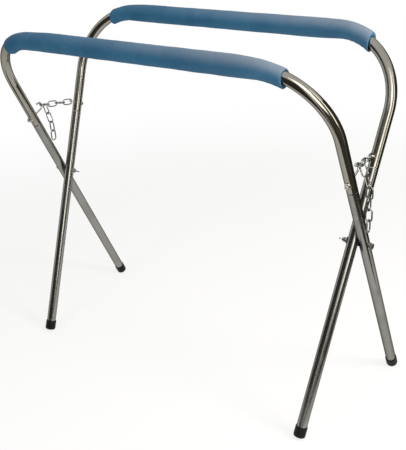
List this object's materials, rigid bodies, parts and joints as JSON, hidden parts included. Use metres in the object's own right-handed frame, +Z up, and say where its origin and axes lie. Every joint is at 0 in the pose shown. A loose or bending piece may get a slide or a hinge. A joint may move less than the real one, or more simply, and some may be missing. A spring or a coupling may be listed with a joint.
{
  "type": "folding sawhorse",
  "caption": "Folding work stand: two crossed U-shaped tube frames on side pivots, foam padded top bars, and hooked chains that set how far it opens.",
  "frame": {"origin": "on the floor, midway between the four feet", "axes": "+X along the padded bars, +Y from the outer frame's bar to the inner frame's bar, +Z up"},
  "size_m": [1.0286, 0.4178, 0.8936],
  "materials": {
    "upper_tube": "bright zinc plate",
    "lower_tube": "dull zinc plate",
    "foam": "closed cell foam",
    "rubber": "matte",
    "fastener": "zinc plate",
    "spacer": "matte",
    "chain": "zinc plate"
  },
  "bodies": {
    "outer_frame": {"outer_frame_tube": "upper_tube", "outer_foam_sleeve": "foam", "outer_leg_left": "lower_tube", "outer_foot_left": "rubber", "pivot_bolt_left": "fastener", "head_washer_left": "fastener", "pivot_spacer_left": "spacer", "nut_washer_left": "fastener", "hook_bolt_left": "fastener", "hook_nut_left": "fastener", "outer_leg_right": "lower_tube", "outer_foot_right": "rubber", "pivot_bolt_right": "fastener", "head_washer_right": "fastener", "pivot_spacer_right": "spacer", "nut_washer_right": "fastener", "hook_bolt_right": "fastener", "hook_nut_right": "fastener"},
    "inner_frame": {"inner_frame_tube": "upper_tube", "inner_foam_sleeve": "foam", "inner_leg_left": "lower_tube", "inner_foot_left": "rubber", "eye_bolt_left": "fastener", "eye_nut_left": "fastener", "inner_leg_right": "lower_tube", "inner_foot_right": "rubber", "eye_bolt_right": "fastener", "eye_nut_right": "fastener"},
    "wing_nut_left": {"wing_nut_left": "fastener"},
    "wing_nut_right": {"wing_nut_right": "fastener"},
    "chain_hooked_left": {"chain_link_left_1": "chain"},
    "chain_hooked_right": {"chain_link_right_1": "chain"},
    "chain_second_left": {"chain_link_left_2": "chain"},
    "chain_second_right": {"chain_link_right_2": "chain"},
    "chain_last_left": {"chain_link_left_4": "chain"},
    "chain_last_right": {"chain_link_right_4": "chain"},
    "chain_third_left": {"chain_link_left_3": "chain"},
    "chain_third_right": {"chain_link_right_3": "chain"},
    "chain_tail_left": {"tail_link_left_1": "chain", "tail_link_left_2": "chain", "tail_link_left_3": "chain", "tail_link_left_4": "chain"},
    "chain_tail_right": {"tail_link_right_1": "chain", "tail_link_right_2": "chain", "tail_link_right_3": "chain", "tail_link_right_4": "chain", "tail_link_right_5": "chain", "tail_link_right_6": "chain"}
  },
  "joints": [
    {"name": "fold", "type": "hinge", "parent": "outer_frame", "child": "inner_frame", "pos_m": [0, 0, 0.44327], "axis": [1, 0, 0], "range_deg": [0, 16]},
    {"name": "wing_nut_left_turn", "type": "hinge", "parent": "outer_frame", "child": "wing_nut_left", "pos_m": [-0.44344, 0, 0.44327], "axis": [-1, 0, 0], "range_deg": [0, 180]},
    {"name": "wing_nut_right_turn", "type": "hinge", "parent": "outer_frame", "child": "wing_nut_right", "pos_m": [0.44344, 0, 0.44327], "axis": [1, 0, 0], "range_deg": [0, 180]},
    {"name": "chain_hooked_left_hang", "type": "hinge", "parent": "outer_frame", "child": "chain_hooked_left", "pos_m": [-0.488, -0.04688, 0.64752], "axis": [1, 0, 0], "range_deg": [0, 17.06]},
    {"name": "chain_hooked_right_hang", "type": "hinge", "parent": "outer_frame", "child": "chain_hooked_right", "pos_m": [0.488, -0.04688, 0.64752], "axis": [1, 0, 0], "range_deg": [0, 17.06]},
    {"name": "chain_second_left_hang", "type": "hinge", "parent": "chain_hooked_left", "child": "chain_second_left", "pos_m": [-0.4833, -0.01826, 0.64333], "axis": [1, 0, 0], "range_deg": [-112.37, 0]},
    {"name": "chain_second_right_hang", "type": "hinge", "parent": "chain_hooked_right", "child": "chain_second_right", "pos_m": [0.4833, -0.01826, 0.64333], "axis": [1, 0, 0], "range_deg": [-112.37, 0]},
    {"name": "chain_last_left_hang", "type": "hinge", "parent": "inner_frame", "child": "chain_last_left", "pos_m": [-0.47097, 0.05206, 0.63436], "axis": [1, 0, 0], "range_deg": [0, 71.28]},
    {"name": "chain_last_right_hang", "type": "hinge", "parent": "inner_frame", "child": "chain_last_right", "pos_m": [0.47097, 0.05206, 0.63436], "axis": [1, 0, 0], "range_deg": [0, 71.28]},
    {"name": "chain_third_left_hang", "type": "hinge", "parent": "chain_last_left", "child": "chain_third_left", "pos_m": [-0.47508, 0.03174, 0.63599], "axis": [1, 0, 0], "range_deg": [-130.1, 0]},
    {"name": "chain_third_right_hang", "type": "hinge", "parent": "chain_last_right", "child": "chain_third_right", "pos_m": [0.47508, 0.03174, 0.63599], "axis": [1, 0, 0], "range_deg": [-130.1, 0]},
    {"name": "chain_tail_left_hang", "type": "hinge", "parent": "chain_hooked_left", "child": "chain_tail_left", "pos_m": [-0.47913, -0.03788, 0.6462], "axis": [1, 0, 0], "range_deg": [-17.06, 0]},
    {"name": "chain_tail_right_hang", "type": "hinge", "parent": "chain_hooked_right", "child": "chain_tail_right", "pos_m": [0.49354, -0.03556, 0.64586], "axis": [1, 0, 0], "range_deg": [-17.06, 0]}
  ],
  "couplings": [
    {"joint": "chain_hooked_left_hang", "follows": "fold", "ratio": 1.066},
    {"joint": "chain_hooked_right_hang", "follows": "fold", "ratio": 1.066},
    {"joint": "chain_second_left_hang", "follows": "fold", "ratio": -7.023},
    {"joint": "chain_second_right_hang", "follows": "fold", "ratio": -7.023},
    {"joint": "chain_last_left_hang", "follows": "fold", "ratio": 4.455},
    {"joint": "chain_last_right_hang", "follows": "fold", "ratio": 4.455},
    {"joint": "chain_third_left_hang", "follows": "fold", "ratio": -8.131},
    {"joint": "chain_third_right_hang", "follows": "fold", "ratio": -8.131},
    {"joint": "chain_tail_left_hang", "follows": "fold", "ratio": -1.066},
    {"joint": "chain_tail_right_hang", "follows": "fold", "ratio": -1.066}
  ]
}
